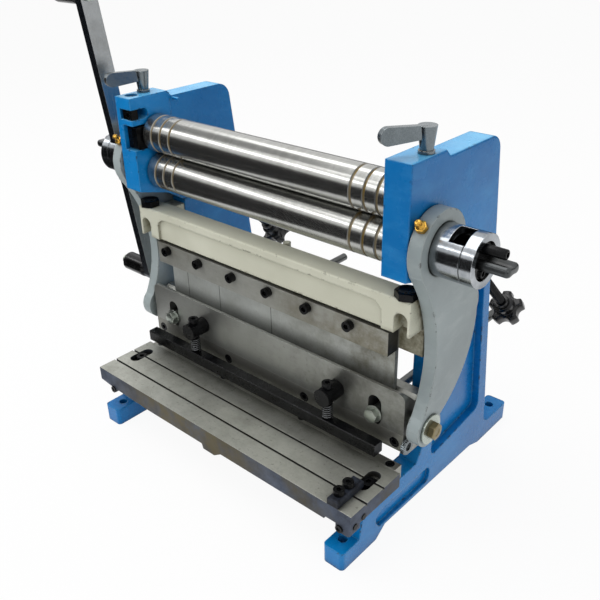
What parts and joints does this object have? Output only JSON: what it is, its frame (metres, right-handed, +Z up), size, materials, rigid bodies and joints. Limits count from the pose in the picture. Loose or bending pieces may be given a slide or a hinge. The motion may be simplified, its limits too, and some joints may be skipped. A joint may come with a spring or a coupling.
{
  "type": "slip roll machine",
  "caption": "Bench machine that bends, shears and rolls sheet metal, with three rolls, a brake ram with fingers, a shear table and a double-ended crank.",
  "frame": {"origin": "centre of the four bench bolt holes on the underside of the feet", "axes": "X along the rolls, +X to the right seen from the front; -Y to the front; +Z up"},
  "size_m": [0.5185, 0.37, 0.4613],
  "materials": {
    "blue_enamel": "gloss enamel over casting",
    "green_enamel": "satin enamel",
    "cream_enamel": "satin enamel",
    "cast_iron": "ground top, dark sides",
    "chrome": "polished",
    "bronze": "machined",
    "brass": "machined",
    "black_plastic": "moulded",
    "black_rubber": "moulded",
    "black_oxide": "black oxide",
    "zinc": "zinc plated",
    "bright_steel": "polished",
    "ground_steel": "ground"
  },
  "bodies": {
    "base": {"frame_left": "blue_enamel", "frame_right": "blue_enamel", "bush_left": "bronze", "bush_right": "bronze", "guide_bar": "ground_steel", "guide_bolts": "zinc", "gear_cover": "ground_steel", "beam": "cream_enamel", "beam_bolts": "black_oxide", "clamp_bar": "ground_steel", "clamp_screws": "black_oxide", "fingers": "ground_steel", "table_screws": "black_oxide", "gauge_rods": "ground_steel", "nut_block": "black_oxide", "lock_screw": "zinc"},
    "ram": {"ram": "ground_steel", "upper_blade": "ground_steel", "blade_screws": "black_oxide", "arm_left": "green_enamel", "arm_right": "green_enamel", "arm_pins": "zinc", "end_disc": "zinc", "grease_nipples": "brass", "hold_brackets": "black_oxide", "hold_spring_left": "black_oxide", "hold_spring_right": "black_oxide"},
    "crank": {"hub_left": "chrome", "crank_bar": "bright_steel", "grip_stud_top": "zinc", "grip_stud_bottom": "zinc"},
    "hub_right": {"hub_right": "chrome"},
    "clutch_left": {"clutch_left": "black_oxide"},
    "clutch_right": {"clutch_right": "black_oxide"},
    "grip_top": {"grip_top": "black_rubber"},
    "grip_bottom": {"grip_bottom": "black_rubber"},
    "hold_down": {"hold_bar": "black_oxide", "hold_bolts": "black_oxide"},
    "lower_roll": {"lower_roll": "ground_steel", "lower_gear": "ground_steel"},
    "upper_block": {"upper_block_right": "ground_steel"},
    "upper_gear": {"upper_gear": "ground_steel"},
    "upper_swing": {"upper_block_left": "black_oxide"},
    "upper_roll": {"upper_roll": "ground_steel"},
    "lever_left": {"lever_left": "bright_steel"},
    "lever_right": {"lever_right": "bright_steel"},
    "rear_blocks": {"rear_block_left": "ground_steel", "rear_block_right": "ground_steel"},
    "rear_roll": {"rear_roll": "ground_steel"},
    "star_left": {"star_left": "black_plastic"},
    "star_right": {"star_right": "black_plastic"},
    "table": {"table": "cast_iron", "lower_blade": "ground_steel", "lower_blade_screws": "black_oxide", "side_gauge": "black_oxide", "gauge_screws": "black_oxide", "set_screws": "black_oxide"},
    "back_gauge": {"gauge_collars": "zinc", "gauge_cross_rod": "ground_steel"}
  },
  "joints": [
    {"name": "ram_slide", "type": "slide", "parent": "base", "child": "ram", "axis": [0, 0, 1], "range_m": [-0.012, 0]},
    {"name": "crank_turn", "type": "hinge", "parent": "ram", "child": "crank", "pos_m": [-0.2, -0.047, 0.284], "axis": [1, 0, 0], "range_deg": [0, 180]},
    {"name": "hub_right_turn", "type": "hinge", "parent": "ram", "child": "hub_right", "pos_m": [0.2, -0.047, 0.284], "axis": [1, 0, 0], "range_deg": [0, 180]},
    {"name": "clutch_left_slide", "type": "slide", "parent": "crank", "child": "clutch_left", "axis": [-1, 0, 0], "range_m": [0, 0.006]},
    {"name": "clutch_right_slide", "type": "slide", "parent": "hub_right", "child": "clutch_right", "axis": [1, 0, 0], "range_m": [0, 0.006]},
    {"name": "grip_top_spin", "type": "hinge", "parent": "crank", "child": "grip_top", "pos_m": [-0.23, -0.07144, 0.45026], "axis": [1, 0, 0], "continuous": true},
    {"name": "grip_bottom_spin", "type": "hinge", "parent": "crank", "child": "grip_bottom", "pos_m": [-0.23, -0.03281, 0.13562], "axis": [1, 0, 0], "continuous": true},
    {"name": "hold_down_slide", "type": "slide", "parent": "ram", "child": "hold_down", "axis": [0, 0, 1], "range_m": [0, 0.01], "stiffness_N_per_m": 2500, "springref_m": -0.004, "deforming": ["hold_spring_left", "hold_spring_right"]},
    {"name": "lower_roll_turn", "type": "hinge", "parent": "base", "child": "lower_roll", "pos_m": [0, -0.047, 0.278], "axis": [1, 0, 0], "continuous": true},
    {"name": "upper_lift", "type": "slide", "parent": "base", "child": "upper_block", "axis": [0, 0, 1], "range_m": [0, 0.0015]},
    {"name": "upper_gear_turn", "type": "hinge", "parent": "upper_block", "child": "upper_gear", "pos_m": [0.163, -0.047, 0.3173], "axis": [1, 0, 0], "continuous": true},
    {"name": "upper_swing_turn", "type": "hinge", "parent": "upper_block", "child": "upper_swing", "pos_m": [0.1626, -0.047, 0.3173], "axis": [0, 0, 1], "range_deg": [0, 8]},
    {"name": "upper_roll_turn", "type": "hinge", "parent": "upper_swing", "child": "upper_roll", "pos_m": [0, -0.047, 0.3173], "axis": [1, 0, 0], "continuous": true},
    {"name": "lever_left_turn", "type": "hinge", "parent": "base", "child": "lever_left", "pos_m": [-0.1705, -0.046, 0.3565], "axis": [0, 0, 1], "range_deg": [0, 180]},
    {"name": "lever_right_turn", "type": "hinge", "parent": "base", "child": "lever_right", "pos_m": [0.1705, -0.046, 0.3565], "axis": [0, 0, 1], "range_deg": [0, 180]},
    {"name": "rear_raise", "type": "slide", "parent": "base", "child": "rear_blocks", "axis": [0, -0.7071, 0.7071], "range_m": [0, 0.012]},
    {"name": "rear_roll_turn", "type": "hinge", "parent": "rear_blocks", "child": "rear_roll", "pos_m": [0, 0.008, 0.272], "axis": [1, 0, 0], "continuous": true},
    {"name": "star_left_turn", "type": "hinge", "parent": "rear_blocks", "child": "star_left", "pos_m": [-0.1665, 0.13698, 0.14302], "axis": [0, 0.7071, -0.7071], "range_deg": [0, 1440]},
    {"name": "star_right_turn", "type": "hinge", "parent": "rear_blocks", "child": "star_right", "pos_m": [0.1665, 0.13698, 0.14302], "axis": [0, 0.7071, -0.7071], "range_deg": [0, 1440]},
    {"name": "table_adjust", "type": "slide", "parent": "base", "child": "table", "axis": [0, 1, 0], "range_m": [-0.002, 0]},
    {"name": "back_gauge_slide", "type": "slide", "parent": "base", "child": "back_gauge", "axis": [0, 1, 0], "range_m": [0, 0.19]}
  ],
  "couplings": [
    {"joint": "crank_turn", "follows": "ram_slide", "rad_per_m": -261.8},
    {"joint": "hub_right_turn", "follows": "ram_slide", "rad_per_m": -261.8},
    {"joint": "upper_gear_turn", "follows": "lower_roll_turn", "ratio": -1},
    {"joint": "upper_roll_turn", "follows": "lower_roll_turn", "ratio": -1},
    {"joint": "lever_left_turn", "follows": "upper_lift", "rad_per_m": 2094.4},
    {"joint": "lever_right_turn", "follows": "upper_lift", "rad_per_m": 2094.4},
    {"joint": "star_left_turn", "follows": "rear_raise", "rad_per_m": 2094.4},
    {"joint": "star_right_turn", "follows": "rear_raise", "rad_per_m": 2094.4}
  ]
}
